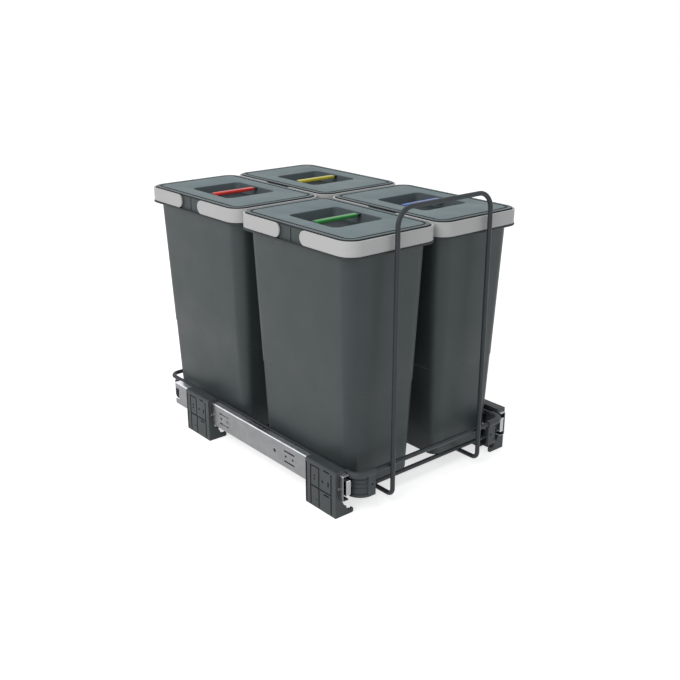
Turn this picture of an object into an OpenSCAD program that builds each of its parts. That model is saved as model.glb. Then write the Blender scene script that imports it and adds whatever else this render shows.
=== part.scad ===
// Pull-out waste unit for the floor of a kitchen cabinet: four lidded buckets stand in a
// wire carriage that runs on a pair of telescopic ball-bearing slides.
// X runs across the unit, +Y from its front to its back, and +Z up. The origin is on the
// cabinet floor, in the middle of the unit's outline.

/* [Buckets] */
// Width of one bucket over its handles
bucket_w = 166.8; // [150:0.2:190]
// Length of one bucket over its handles
bucket_l = 252; // [220:1:280]
// Height of a bucket from its base to the top of its handles
bucket_h = 373; // [280:1:420]
// Gap between the left and right buckets
column_gap = 2.8; // [2.6:0.2:12]
// Gap between the front and rear buckets
row_gap = 5.5; // [4:0.5:20]
// Thickness of the bucket's wall and base
bucket_wall = 2; // [1.6:0.1:3]
// Distance from the handles' outer face in to the wall, under the rim
rim_inset = 10; // [8:0.5:14]
// Distance from the handles' outer face in to the wall, at the base
base_inset = 24; // [18:0.5:26]
// Corner radius of the wall under the rim
wall_rim_r = 22; // [16:1:30]
// Corner radius of the wall at the base
wall_base_r = 16; // [13:1:22]
// Rounding between the base and the wall
base_round = 3; // [2:0.5:5]
// Height of the moulded step in the wall above the base
step_h = 143; // [60:1:200]
// Depth of the moulded step
step_t = 0.8; // [0.4:0.1:1]
// Thickness of the ledge under the handles
ledge_t = 3; // [2:0.2:4]
// How far the ledge stands proud of the handles
ledge_proud = 0.8; // [0.2:0.1:1.2]

/* [Handles] */
// Height of a handle's band
band_h = 21; // [16:0.5:26]
// Thickness of a handle's band
band_t = 3.2; // [2.8:0.1:4]
// Outer corner radius of the band
band_r = 24.5; // [21:0.5:34]
// Distance between the round ends of the two handles
arm_gap = 46; // [30:1:60]
// Diameter of a handle's pivot pin
pin_d = 5; // [4:0.2:7]

/* [Lids] */
// How far a lid stands above the handles
lid_proud = 1.6; // [0.8:0.1:3]
// Thickness of the lid's plate
lid_t = 2.4; // [2:0.1:3]
// Width of the grey ring around the lid's panel
ring_w = 6.6; // [5:0.2:10]
// Length of the finger recess, along the bucket
recess_l = 106; // [80:1:130]
// Width of the finger recess, across the bucket
recess_w = 90; // [60:1:100]
// Depth of the finger recess
recess_h = 18; // [14:0.5:24]
// Corner radius of the finger recess
recess_r = 9; // [5:0.5:14]
// Width of the coloured grip bar
grip_w = 9; // [7:0.5:16]
// Height of the coloured grip bar
grip_h = 5; // [4.5:0.5:9]

/* [Wire carriage] */
// Diameter of the coated wire
wire_d = 7; // [5:0.5:8]
// Distance from the handles' outer face in to the axis of the loop's long sides
loop_inset = 14.7; // [12:0.1:17]
// Distance from the handles' rear face in to the axis of the loop's rear side
loop_rear_inset = 7.3; // [6:0.1:14]
// Corner radius of the loop, to its axis
loop_r = 16; // [12:0.5:20]
// Depth of the cross wires below the loop, axis to axis
cradle_h = 39.6; // [34:0.2:44]
// Radius of the tight bends, to the wire's axis
bend_r = 10; // [8:0.5:12]
// Distance between the legs of the front hoop, axis to axis
hoop_w = 180; // [140:2:200]
// Radius of the hoop's upper bends, to the wire's axis
hoop_r = 25; // [15:1:35]
// Height of the hoop's top above the handles
hoop_over = 39.4; // [20:0.2:60]
// Thickness of the flat rails that carry the loop
rail_t = 1.2; // [1:0.1:3.5]

/* [Slides] */
// Closed length of a slide, which is also its travel
slide_l = 450; // [400:10:500]
// Height of a slide
slide_h = 39.5; // [38:0.5:44]
// Thickness of a slide across its three members
slide_t = 12.7; // [12.7:0.1:13.5]
// Height of a slide's lower edge above the cabinet floor
slide_z = 27.8; // [27:0.1:34]
// Distance of the slide's front end behind the handles' front face
slide_setback = 7.7; // [4:0.1:10]
// Sheet thickness of the outer and inner members
sheet_t = 1.2; // [1:0.1:1.3]
// Diameter of the bearing balls
ball_d = 2.5; // [2:0.1:2.5]
// Balls in each row
ball_count = 10; // [4:1:12]

/* [Brackets] */
// Thickness of a bracket outside the slide
bracket_t = 7.1; // [6:0.1:8]
// Length of a bracket along the slide
bracket_l = 68; // [60:1:80]
// Distance of the front bracket behind the slide's front end
front_bracket_y = 7.5; // [3:0.5:12]
// Distance of the rear bracket's back from the slide's rear end
rear_bracket_y = 48; // [20:1:80]
// Reach of the cap over the slide, from the bracket's outer face
cap_w = 17.6; // [15:0.1:17.8]
// Thickness of the cap
cap_t = 4.7; // [2:0.1:6]
// Width of the foot, from the bracket's outer face to its beaded tips
foot_w = 33; // [31:0.5:36]
// Thickness of the foot
foot_t = 4.5; // [3.5:0.1:6]
// Diameter of the screw hole in the foot
foot_hole_d = 4.2; // [3.5:0.1:4.4]
// Thickness of the ribs under the slide
gusset_t = 3; // [2:0.1:4]
// Length of the tab with the screw hole, between the middle ribs
foot_tab_l = 14; // [10:0.5:18]

/* [Corner blocks] */
// Height of a corner block under the wire's axis
block_h = 36.7; // [30:0.1:38]
// Reach of a corner block along the front of the loop, from the loop's side
block_w = 34.5; // [30:0.5:40]
// Outer corner radius of a corner block
block_r = 24; // [20:1:26]
// Wall of the clip around the wire
clip_t = 1.7; // [1.2:0.1:2]
// Diameter of the hole that takes the cabinet front's fixing
front_hole_d = 3.4; // [3:0.1:5]

/* [Hidden] */
$fn = 48;
hull_fn = 32;
// Clearances
cut = 1;
weld_gap = 0.05;
screw_fit = 0.1;
running_fit = 0.06;
rest_gap = 0.05;
side_fit = 0.5;
end_fit = 1.4;
handle_fit = 0.3;
plug_fit = 0.4;
bracket_fit = 0.2;
slab_t = 0.05;

// Plan of the four buckets
column_x = (bucket_w + column_gap) / 2;
rows_l = 2 * bucket_l + row_gap;
rows_w = 2 * bucket_w + column_gap;
loop_lead = 0.4;
front_reach = loop_lead + 1.5 * wire_d + weld_gap;
unit_l = rows_l + front_reach + ledge_proud;
rows_y = -unit_l / 2 + front_reach;
front_row_y = rows_y + bucket_l / 2;
rear_row_y = front_row_y + bucket_l + row_gap;

// Wire carriage
loop_x = rows_w / 2 - loop_inset;
loop_front_y = rows_y - loop_lead;
loop_rear_y = rows_y + rows_l - loop_rear_inset;
loop_drop = 3.6;
slide_top = slide_z + slide_h;
loop_z = slide_top - loop_drop;
cross_z = loop_z - cradle_h;
hoop_y = loop_front_y - wire_d - weld_gap;
foot_wire_z = cross_z - wire_d - weld_gap;
bucket_z = cross_z + wire_d / 2 + rest_gap;
rest_inset = base_round + rest_gap;
base_front = base_inset + step_t;
cross_ys = [
    front_row_y - bucket_l / 2 + base_front + rest_inset,
    front_row_y + bucket_l / 2 - base_front - rest_inset,
    rear_row_y - bucket_l / 2 + base_front + rest_inset,
    rear_row_y + bucket_l / 2 - base_front - rest_inset
];

// Bucket heights
band_top = bucket_z + bucket_h;
band_z = band_top - band_h;
pivot_z = band_top - band_h / 2;
pivot_y = arm_gap / 2 + band_h / 2;
ledge_z = band_z - handle_fit - ledge_t;
wall_h = ledge_z - bucket_z;
lid_top = band_top + lid_proud;
rim_top = lid_top - lid_t;
hoop_top_z = band_top + hoop_over - wire_d / 2;

// Rim and lid outline
rim_w = bucket_w - 2 * (band_t + side_fit);
rim_l = bucket_l - 2 * (band_t + end_fit);
rim_r = band_r - band_t - side_fit;
seam_w = 1.2;
seam_t = 0.6;
pin_reach = band_t * 0.6;
groove_w = 2.2;
groove_t = 1;
plug_h = 8;
plug_t = 1.6;
recess_wall = 2.2;
grip_drop = 0.8;
grip_r = 2;
tenon = 1.2;

// Slide sections, measured inward from the slide's outer face
slide_face = loop_x + wire_d / 2 + weld_gap + rail_t + slide_t;
slide_y = rows_y + slide_setback;
slide_mid_z = slide_z + slide_h / 2;
ball_fit = 0.2;
ball_lane = ball_d + 2 * ball_fit;
middle_t = 1;
cage_t = 0.6;
cage_gap = 0.2;
outer_flange = 10.5;
race_lip = 0.8;
middle_x = sheet_t + cage_t + 2 * cage_gap;
middle_flange = 8.4;
middle_h = slide_h - 2 * (sheet_t + ball_lane);
inner_h = middle_h - 2 * (middle_t + ball_lane);
web_clear = 1.2;
inner_flange = slide_t - middle_x - middle_t - cage_t - web_clear;
outer_ball_in = 3.4;
inner_ball_in = 2.4;
outer_ball_x = middle_x + outer_ball_in;
inner_ball_x = slide_t - inner_flange + inner_ball_in;
middle_front = 8;
middle_back = 12;
inner_lead = 1.5;
inner_back = 13;
middle_slot_shares = [0.2, 0.4, 0.6, 0.8];
cage_share = 0.36;
cage_l = slide_l * cage_share;
notch_l = 11;
notch_h = slide_h * 0.5;
slot_l = 26;
slot_w = 2.4;
slot_z = 8.5;
cluster_shares = [0.275, 0.663];
hole_d = 4;
hole_pitch = 17.2;
bump_hole_d = 6;
bump_hole_share = 0.357;
mark_d = 1.8;

// Bracket sections
wall_x = slide_face + bracket_t;
bracket_h = slide_top + bracket_fit + cap_t;
shoulder_r = 2.8;
bead_r = 2.6;
bead_top = 8.1;
hook_r = 1.5;
hook_gap = 0.7;
gusset_ledge = 1.4;
gusset_w = 14.7;
gusset_shares = [
    [0, 1], [0.12, 0.91], [0.4, 0.7], [0.44, 0.61], [0.52, 0.54],
    [0.78, 0.42], [0.81, 0.36], [0.81, 0.3], [0.96, 0.17], [1, 0.15]
];
gusset_u = bracket_t + gusset_ledge;
gusset_top = slide_z - bracket_fit;
flange_w = gusset_u + 0.8 * gusset_w;
foot_hole_u = gusset_u + gusset_w + foot_hole_d / 2 + 0.3 * bead_r;
gusset_ys = [
    0,
    (bracket_l - foot_tab_l) / 2 - gusset_t,
    (bracket_l + foot_tab_l) / 2,
    bracket_l - gusset_t
];
panel_groove_w = 2.2;
panel_groove_t = 1.2;
panel_shares = [0.143, 0.544, 0.818, 0.962];
panel_rib_share = 0.44;
panel_top_share = 0.915;
slot_drop = 3.6;
slot_rise = 8;
bracket_ys = [slide_y + front_bracket_y, slide_y + slide_l - rear_bracket_y - bracket_l];
screw_shares = [0.34, 0.91];
screw_d = 3.8;
screw_head_d = 6;
adjuster_d = 2.4;
adjuster_head_d = 3;
adjuster_l = 10;
adjuster_proud = 1.2;
adjuster_drop = 1.4;
adjuster_share = 0.75;

// Rails, rivets and corner blocks
rail_inner_x = slide_face - slide_t - rail_t;
rail_outer_x = slide_face - slide_t;
rail_h = 26;
rail_rise = 2.3;
rail_top = loop_z + rail_rise;
rail_end = 13;
rivet_d = 4;
rivet_head_d = 8;
rivet_head_t = 1.1;
rivet_shares = [0.14, 0.5, 0.86];
block_back = 21.5;
block_face = 1.4;
block_front = 3;
block_front_y = loop_front_y - block_front;
block_wall = 2.5;
block_lip_h = 4;
rib_h = 1.6;
rib_proud = 1.6;
rib_shares = [0.34, 0.52, 0.7];
tab_w = 14;
front_hole_drop = 18.7;
front_hole_share = 0.45;
front_hole_z = loop_z - front_hole_drop;
front_hole_x = loop_x - block_w + tab_w * front_hole_share;
clip_d = wire_d + 2 * clip_t;
block_screw_d = 3.6;
block_screw_l = 9;
block_screw_setback = 9;
block_screw_y = slide_y + block_screw_setback;

function grow_at(h) = base_inset + (rim_inset - base_inset) * h / wall_h;
function radius_at(h) = wall_base_r + (wall_rim_r - wall_base_r) * h / wall_h;

// Shared shapes

module rounded_rect(w, l, r) {
    square([w - 2 * r, l], center = true);
    square([w, l - 2 * r], center = true);
    for (sx = [-1, 1], sy = [-1, 1])
        translate([sx * (w / 2 - r), sy * (l / 2 - r)]) circle(r = r);
}

// An extrusion of an X-Z profile from y0 back over a length l
module run(y0, l) {
    translate([0, y0 + l, 0]) rotate([90, 0, 0]) linear_extrude(l) children();
}

// A cylinder along X from x0 to x1
module rod_x(x0, x1, d, y, z) {
    translate([x0, y, z]) rotate([0, 90, 0]) cylinder(d = d, h = x1 - x0);
}

// A cylinder along Y from y0 to y1
module rod_y(y0, y1, d, x, z) {
    translate([x, y1, z]) rotate([90, 0, 0]) cylinder(d = d, h = y1 - y0);
}

// A slot along Y, cut through a wall that faces X
module slot_x(x0, x1, l, w, y, z) {
    for (s = [-1, 1]) rod_x(x0, x1, w, y + s * (l - w) / 2, z);
    translate([x0, y - (l - w) / 2, z - w / 2]) cube([x1 - x0, l - w, w]);
}

// A slot along Z, cut through a wall that faces X
module slot_up(x0, x1, l, w, y, z) {
    for (s = [-1, 1]) rod_x(x0, x1, w, y, z + s * (l - w) / 2);
    translate([x0, y - w / 2, z - (l - w) / 2]) cube([x1 - x0, w, l - w]);
}

// A quarter bend of wire from the angle a on
module wire_bend(r, a) {
    rotate_extrude(angle = 90, start = a) translate([r, 0]) circle(d = wire_d);
}

module left() {
    mirror([1, 0, 0]) children();
}

// The frame of the bucket in column sx (-1 left, 1 right) and row y
module at_bucket(sx, y) {
    translate([sx * column_x, y, 0]) children();
}

// Buckets

module wall_slab(h, grow) {
    translate([0, 0, bucket_z + h])
        linear_extrude(slab_t)
            rounded_rect(
                bucket_w - 2 * grow_at(h) + 2 * grow,
                bucket_l - 2 * grow_at(h) + 2 * grow,
                radius_at(h) + grow,
                $fn = hull_fn
            );
}

// The tapered wall's solid, set in by t, from the height floor_h to top_h
module tapered_wall(t, floor_h, top_h) {
    hull() {
        wall_slab(floor_h, -t - step_t - base_round);
        wall_slab(floor_h + base_round, -t - step_t);
        wall_slab(step_h, -t - step_t);
    }
    hull() {
        wall_slab(step_h, -t);
        wall_slab(top_h, -t);
    }
}

module bucket() {
    color([0.25, 0.27, 0.28])
        difference() {
            union() {
                tapered_wall(0, 0, wall_h);
                translate([0, 0, ledge_z])
                    linear_extrude(ledge_t)
                        rounded_rect(
                            bucket_w + 2 * ledge_proud,
                            bucket_l + 2 * ledge_proud,
                            band_r + ledge_proud
                        );
                translate([0, 0, ledge_z])
                    linear_extrude(rim_top - ledge_z) rounded_rect(rim_w, rim_l, rim_r);
                for (sx = [-1, 1], sy = [-1, 1])
                    rod_x(
                        sx > 0 ? rim_w / 2 - bucket_wall : -rim_w / 2 - side_fit - pin_reach,
                        sx > 0 ? rim_w / 2 + side_fit + pin_reach : -rim_w / 2 + bucket_wall,
                        pin_d, sy * pivot_y, pivot_z
                    );
            }
            tapered_wall(bucket_wall, bucket_wall, wall_h + ledge_t - bucket_wall);
            translate([0, 0, ledge_z + ledge_t - bucket_wall])
                linear_extrude(rim_top - ledge_z)
                    rounded_rect(rim_w - 2 * bucket_wall, rim_l - 2 * bucket_wall, rim_r - bucket_wall);
            for (sx = [-1, 1])
                translate([sx * rim_w / 2 - seam_t, -seam_w / 2, ledge_z + ledge_t])
                    cube([2 * seam_t, seam_w, rim_top - ledge_z]);
        }
}

// One bail handle: a band round the end of the rim, with its two arms on the rim's pins
module handle(sy) {
    color([0.75, 0.76, 0.76])
        difference() {
            union() {
                intersection() {
                    translate([0, 0, band_z])
                        linear_extrude(band_h)
                            difference() {
                                rounded_rect(bucket_w, bucket_l, band_r);
                                rounded_rect(
                                    bucket_w - 2 * band_t,
                                    bucket_l - 2 * band_t,
                                    band_r - band_t
                                );
                            }
                    translate([
                        -bucket_w / 2 - cut,
                        sy > 0 ? pivot_y : -bucket_l / 2 - cut,
                        band_z - cut
                    ])
                        cube([bucket_w + 2 * cut, bucket_l / 2 + cut - pivot_y, band_h + 2 * cut]);
                }
                for (x = [-bucket_w / 2, bucket_w / 2 - band_t])
                    rod_x(x, x + band_t, band_h, sy * pivot_y, pivot_z);
            }
            rod_x(
                -rim_w / 2 - side_fit - pin_reach - bracket_fit,
                rim_w / 2 + side_fit + pin_reach + bracket_fit,
                pin_d + 2 * running_fit, sy * pivot_y, pivot_z
            );
        }
}

// Lids

module lid() {
    color([0.49, 0.54, 0.56])
        difference() {
            union() {
                translate([0, 0, rim_top + rest_gap])
                    linear_extrude(lid_t - rest_gap) rounded_rect(rim_w, rim_l, rim_r);
                translate([0, 0, rim_top - plug_h])
                    linear_extrude(plug_h + lid_t / 2)
                        difference() {
                            rounded_rect(
                                rim_w - 2 * (bucket_wall + plug_fit),
                                rim_l - 2 * (bucket_wall + plug_fit),
                                rim_r - bucket_wall - plug_fit
                            );
                            rounded_rect(
                                rim_w - 2 * (bucket_wall + plug_fit + plug_t),
                                rim_l - 2 * (bucket_wall + plug_fit + plug_t),
                                rim_r - bucket_wall - plug_fit - plug_t
                            );
                        }
                translate([0, 0, lid_top - recess_h - recess_wall])
                    linear_extrude(recess_h)
                        rounded_rect(
                            recess_w + 2 * recess_wall,
                            recess_l + 2 * recess_wall,
                            recess_r + recess_wall
                        );
            }
            translate([0, 0, lid_top - recess_h])
                linear_extrude(recess_h + cut) rounded_rect(recess_w, recess_l, recess_r);
            translate([0, 0, lid_top - groove_t])
                linear_extrude(groove_t + cut)
                    difference() {
                        rounded_rect(rim_w - 2 * ring_w, rim_l - 2 * ring_w, rim_r - ring_w);
                        rounded_rect(
                            rim_w - 2 * (ring_w + groove_w),
                            rim_l - 2 * (ring_w + groove_w),
                            rim_r - ring_w - groove_w
                        );
                    }
            translate([
                -recess_w / 2 - tenon,
                -grip_w / 2 - screw_fit,
                lid_top - grip_drop - grip_h - screw_fit
            ])
                cube([
                    recess_w + 2 * tenon,
                    grip_w + 2 * screw_fit,
                    grip_h + grip_drop + screw_fit + cut
                ]);
        }
}

// The coloured bar that crosses the finger recess
module grip(tone) {
    bar_l = recess_w + 2 * (tenon - screw_fit);
    color(tone)
        translate([-bar_l / 2, 0, lid_top - grip_drop - grip_h / 2])
            rotate([90, 0, 90])
                linear_extrude(bar_l) rounded_rect(grip_w, grip_h, grip_r);
}

// Wire carriage

module wire_loop() {
    color([0.2, 0.21, 0.22]) {
        for (sx = [-1, 1])
            rod_y(loop_front_y + loop_r, loop_rear_y - loop_r, wire_d, sx * loop_x, loop_z);
        for (y = [loop_front_y, loop_rear_y])
            rod_x(-loop_x + loop_r, loop_x - loop_r, wire_d, y, loop_z);
        for (c = [[1, 1, 0], [-1, 1, 90], [-1, -1, 180], [1, -1, 270]])
            translate([
                c[0] * (loop_x - loop_r),
                c[1] > 0 ? loop_rear_y - loop_r : loop_front_y + loop_r,
                loop_z
            ])
                wire_bend(loop_r, c[2]);
    }
}

// A bed wire under the buckets, with its ends turned up to the loop
module cross_wire(y) {
    color([0.2, 0.21, 0.22]) {
        rod_x(-loop_x + bend_r, loop_x - bend_r, wire_d, y, cross_z);
        for (c = [[-1, 180], [1, 270]])
            translate([c[0] * (loop_x - bend_r), y, cross_z + bend_r])
                rotate([90, 0, 0]) wire_bend(bend_r, c[1]);
        for (sx = [-1, 1])
            translate([sx * loop_x, y, cross_z + bend_r])
                cylinder(d = wire_d, h = cradle_h - bend_r - wire_d / 2 - weld_gap);
    }
}

// The tall front hoop, whose legs turn back under the bed wires
module front_hoop() {
    foot_end = cross_ys[1] + wire_d;
    color([0.2, 0.21, 0.22]) {
        rod_x(-hoop_w / 2 + hoop_r, hoop_w / 2 - hoop_r, wire_d, hoop_y, hoop_top_z);
        for (c = [[1, 0], [-1, 90]])
            translate([c[0] * (hoop_w / 2 - hoop_r), hoop_y, hoop_top_z - hoop_r])
                rotate([90, 0, 0]) wire_bend(hoop_r, c[1]);
        for (sx = [-1, 1]) {
            translate([sx * hoop_w / 2, hoop_y, foot_wire_z + bend_r])
                cylinder(d = wire_d, h = hoop_top_z - hoop_r - foot_wire_z - bend_r);
            translate([sx * hoop_w / 2, hoop_y + bend_r, foot_wire_z + bend_r])
                rotate([90, 0, 90]) wire_bend(bend_r, 180);
            rod_y(hoop_y + bend_r, foot_end, wire_d, sx * hoop_w / 2, foot_wire_z);
        }
    }
}

// The flat steel rail between the loop and the right slide's inner member
module rail() {
    color([0.25, 0.26, 0.27])
        difference() {
            translate([rail_inner_x, slide_y + block_back - slide_setback, rail_top - rail_h])
                cube([
                    rail_t,
                    slide_l - rail_end - block_back + slide_setback,
                    rail_h
                ]);
            for (s = rivet_shares)
                rod_x(
                    rail_inner_x - cut, rail_outer_x + cut, rivet_d + 2 * screw_fit,
                    slide_y + s * slide_l, slide_mid_z
                );
        }
}

// The rivets that hold the right rail to its slide
module rail_rivets() {
    color([0.7, 0.71, 0.72])
        for (s = rivet_shares) {
            y = slide_y + s * slide_l;
            rod_x(rail_inner_x - rivet_head_t, rail_inner_x, rivet_head_d, y, slide_mid_z);
            rod_x(rail_inner_x, rail_outer_x + sheet_t, rivet_d, y, slide_mid_z);
            rod_x(
                rail_outer_x + sheet_t, rail_outer_x + 1.6 * sheet_t,
                rivet_head_d * 0.8, y, slide_mid_z
            );
        }
}

// Plan of the corner blocks' outer faces, set in by t
module block_plan(t) {
    rounded_rect(2 * (loop_x - block_face - t), -2 * (block_front_y + t), block_r - t);
}

// A wall round the block's corner, set in by t, of thickness w
module corner_wall(t, w, z, h) {
    intersection() {
        translate([0, 0, z])
            linear_extrude(h)
                difference() {
                    block_plan(t);
                    block_plan(t + w);
                }
        translate([loop_x - block_w, block_front_y - cut, z])
            cube([block_w + cut, block_front + block_back + cut, h]);
    }
}

// The moulded block at the loop's front right corner
module corner_block() {
    base_z = loop_z - block_h;
    wall_in = block_face + rib_proud;
    color([0.28, 0.3, 0.31])
        difference() {
            union() {
                corner_wall(rib_proud, block_wall, base_z, block_h);
                corner_wall(0, block_wall + 2 * rib_proud, base_z, block_lip_h);
                for (s = rib_shares)
                    corner_wall(rib_proud / 2, block_wall, base_z + s * block_h, rib_h);
                translate([loop_x - block_w, block_front_y, base_z])
                    cube([tab_w, rib_proud + block_wall, block_h]);
                translate([
                    loop_x - wall_in - block_wall,
                    block_screw_y - block_lip_h,
                    slide_mid_z - block_lip_h
                ])
                    cube([
                        rail_outer_x - weld_gap - loop_x + wall_in + block_wall,
                        2 * block_lip_h,
                        2 * block_lip_h
                    ]);
                rod_x(loop_x - block_w, loop_x - loop_r, clip_d, loop_front_y, loop_z);
                rod_y(
                    loop_front_y + loop_r, loop_front_y + block_back, clip_d, loop_x, loop_z
                );
                translate([loop_x - loop_r, loop_front_y + loop_r, loop_z])
                    rotate_extrude(angle = 90, start = 270)
                        translate([loop_r, 0]) circle(d = clip_d);
            }
            rod_x(
                loop_x - block_w - cut, loop_x - loop_r, wire_d + 2 * weld_gap,
                loop_front_y, loop_z
            );
            rod_y(
                loop_front_y + loop_r, loop_front_y + block_back + cut, wire_d + 2 * weld_gap,
                loop_x, loop_z
            );
            translate([loop_x - loop_r, loop_front_y + loop_r, loop_z])
                rotate_extrude(angle = 90, start = 270)
                    translate([loop_r, 0]) circle(d = wire_d + 2 * weld_gap);
            rod_y(
                block_front_y - cut, loop_front_y + block_back, front_hole_d,
                front_hole_x, front_hole_z
            );
            rod_x(
                loop_x - wall_in - block_wall - cut, rail_outer_x + cut,
                block_screw_d + 2 * screw_fit, block_screw_y, slide_mid_z
            );
        }
}

// The screws that hold the slides' inner members to the corner blocks
module block_screws() {
    color([0.7, 0.71, 0.72])
        for (m = [0, 1])
            mirror([m, 0, 0]) {
                rod_x(
                    rail_outer_x + sheet_t - block_screw_l, rail_outer_x + sheet_t,
                    block_screw_d, block_screw_y, slide_mid_z
                );
                rod_x(
                    rail_outer_x + sheet_t, rail_outer_x + 1.7 * sheet_t,
                    2 * block_screw_d, block_screw_y, slide_mid_z
                );
            }
}

// Right slide

// A channel of width w and height h whose back is at x = 0 and which opens towards -x
module channel(w, h, t, r) {
    difference() {
        translate([-w, 0]) rounded_rect(2 * w, h, r);
        translate([-w, 0]) rounded_rect(2 * (w - t), h - 2 * t, r - t / 2);
        translate([-2 * w - cut, -h / 2 - cut]) square([w + cut, h + 2 * cut]);
    }
}

module slide_outer() {
    color([0.62, 0.62, 0.63])
        difference() {
            union() {
                translate([slide_face, 0, slide_mid_z])
                    run(slide_y, slide_l) channel(outer_flange, slide_h, sheet_t, 1.6 * sheet_t);
                for (s = [-1, 1])
                    translate([
                        slide_face - outer_flange,
                        slide_y,
                        slide_mid_z + s * (slide_h / 2 - sheet_t - race_lip / 2) - race_lip / 2
                    ])
                        cube([race_lip, slide_l, race_lip]);
            }
            translate([
                slide_face - 1.5 * sheet_t,
                slide_y + slide_l - notch_l,
                slide_mid_z - notch_h / 2
            ])
                cube([3 * sheet_t, notch_l + cut, notch_h]);
            for (c = cluster_shares) {
                y = slide_y + c * slide_l;
                for (s = [-1, 1])
                    slot_x(
                        slide_face - 1.5 * sheet_t, slide_face + cut, slot_l, slot_w,
                        y, slide_mid_z + s * slot_z
                    );
                for (s = [-1, 1])
                    rod_x(
                        slide_face - 1.5 * sheet_t, slide_face + cut, hole_d,
                        y + s * hole_pitch / 2, slide_mid_z
                    );
                rod_x(
                    slide_face - 1.5 * sheet_t, slide_face + cut, mark_d,
                    y - slot_l / 2 - mark_d * 2, slide_mid_z
                );
            }
            rod_x(
                slide_face - 1.5 * sheet_t, slide_face + cut, bump_hole_d,
                slide_y + bump_hole_share * slide_l, slide_mid_z
            );
            at_slide_screws()
                rod_x(
                    slide_face - 1.5 * sheet_t, slide_face + cut,
                    screw_head_d + 2 * screw_fit, 0, 0
                );
        }
}

// The places of the screws between the right slide and its brackets
module at_slide_screws() {
    for (y = bracket_ys, s = screw_shares)
        translate([0, y + s * bracket_l, slide_mid_z]) children();
}

module slide_middle() {
    color([0.58, 0.58, 0.59])
        difference() {
            translate([slide_face - middle_x, 0, slide_mid_z])
                run(slide_y + middle_front, slide_l - middle_front - middle_back)
                    channel(middle_flange, middle_h, middle_t, 1.5 * middle_t);
            for (s = middle_slot_shares)
                slot_x(
                    slide_face - middle_x - 1.5 * middle_t, slide_face - middle_x + cut,
                    slot_l, hole_d, slide_y + s * slide_l, slide_mid_z
                );
        }
}

module slide_inner() {
    color([0.66, 0.67, 0.68])
        difference() {
            translate([rail_outer_x, 0, slide_mid_z])
                run(slide_y - inner_lead, slide_l + inner_lead - inner_back)
                    mirror([1, 0]) channel(inner_flange, inner_h, sheet_t, 1.5 * sheet_t);
            for (s = rivet_shares)
                rod_x(
                    rail_outer_x - cut, rail_outer_x + 1.5 * sheet_t, rivet_d + 2 * screw_fit,
                    slide_y + s * slide_l, slide_mid_z
                );
            rod_x(
                rail_outer_x - cut, rail_outer_x + 1.5 * sheet_t, block_screw_d + 2 * screw_fit,
                block_screw_y, slide_mid_z
            );
        }
}

// A bent strip with two rows of balls, its back x_back in from the slide's face
module ball_cage(x_back, x_ball, row_h, reach) {
    y0 = slide_y + (slide_l - cage_l) / 2;
    pitch = cage_l / ball_count;
    color([0.72, 0.73, 0.7])
        difference() {
            translate([slide_face - x_back, 0, slide_mid_z])
                run(y0, cage_l) channel(reach, row_h + cage_t, cage_t, 1.4 * cage_t);
            for (i = [0 : ball_count - 1], s = [-1, 1])
                translate([
                    slide_face - x_ball,
                    y0 + (i + 0.5) * pitch,
                    slide_mid_z + s * row_h / 2 - ball_d / 2
                ])
                    cylinder(d = ball_d + 2 * screw_fit, h = ball_d);
        }
    color([0.85, 0.86, 0.87])
        for (i = [0 : ball_count - 1], s = [-1, 1])
            translate([
                slide_face - x_ball,
                y0 + (i + 0.5) * pitch,
                slide_mid_z + s * row_h / 2
            ])
                sphere(d = ball_d);
}

module ball_cage_outer() {
    ball_cage(
        sheet_t + cage_gap, outer_ball_x, middle_h + ball_lane,
        outer_ball_x + 1.6 * ball_d - sheet_t - 2 * cage_gap
    );
}

module ball_cage_inner() {
    ball_cage(
        middle_x + middle_t + cage_gap, inner_ball_x, inner_h + ball_lane,
        inner_ball_x + 0.8 * ball_d - middle_x - middle_t - cage_gap
    );
}

module slide_screws() {
    color([0.75, 0.76, 0.77])
        at_slide_screws() {
            rod_x(slide_face - sheet_t, slide_face, screw_head_d, 0, 0);
            rod_x(slide_face, slide_face + bracket_t - 2 * panel_groove_t, screw_d, 0, 0);
        }
}

// Right brackets

// The bracket's section, with u inward from its outer face and z up
module bracket_profile() {
    cap_z = bracket_h - cap_t;
    polygon([
        [0, 0], [flange_w, 0], [flange_w, foot_t], [bracket_t, foot_t],
        [bracket_t, cap_z], [cap_w, cap_z], [cap_w, bracket_h],
        [shoulder_r, bracket_h], [0, bracket_h - shoulder_r]
    ]);
    translate([shoulder_r, bracket_h - shoulder_r]) circle(r = shoulder_r);
}

// A rib under the slide, with a hook and a bead on the tip of its foot
module gusset_profile() {
    hook_u = foot_w - 2 * bead_r - hook_gap - 2 * hook_r;
    polygon(concat(
        [[0, 0], [foot_w - bead_r, 0], [foot_w - bead_r, foot_t], [gusset_u + gusset_w, foot_t]],
        [
            for (i = [len(gusset_shares) - 1 : -1 : 0])
                [
                    gusset_u + gusset_shares[i][0] * gusset_w,
                    foot_t + gusset_shares[i][1] * (gusset_top - foot_t)
                ]
        ],
        [[0, gusset_top]]
    ));
    translate([foot_w - 2 * bead_r, bead_r]) square([2 * bead_r, bead_top - 2 * bead_r]);
    for (z = [bead_r, bead_top - bead_r]) translate([foot_w - bead_r, z]) circle(r = bead_r);
    translate([hook_u, foot_t / 2]) square([2 * hook_r, bead_top - hook_r - foot_t / 2]);
    translate([hook_u + hook_r, bead_top - hook_r]) circle(r = hook_r);
}

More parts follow.
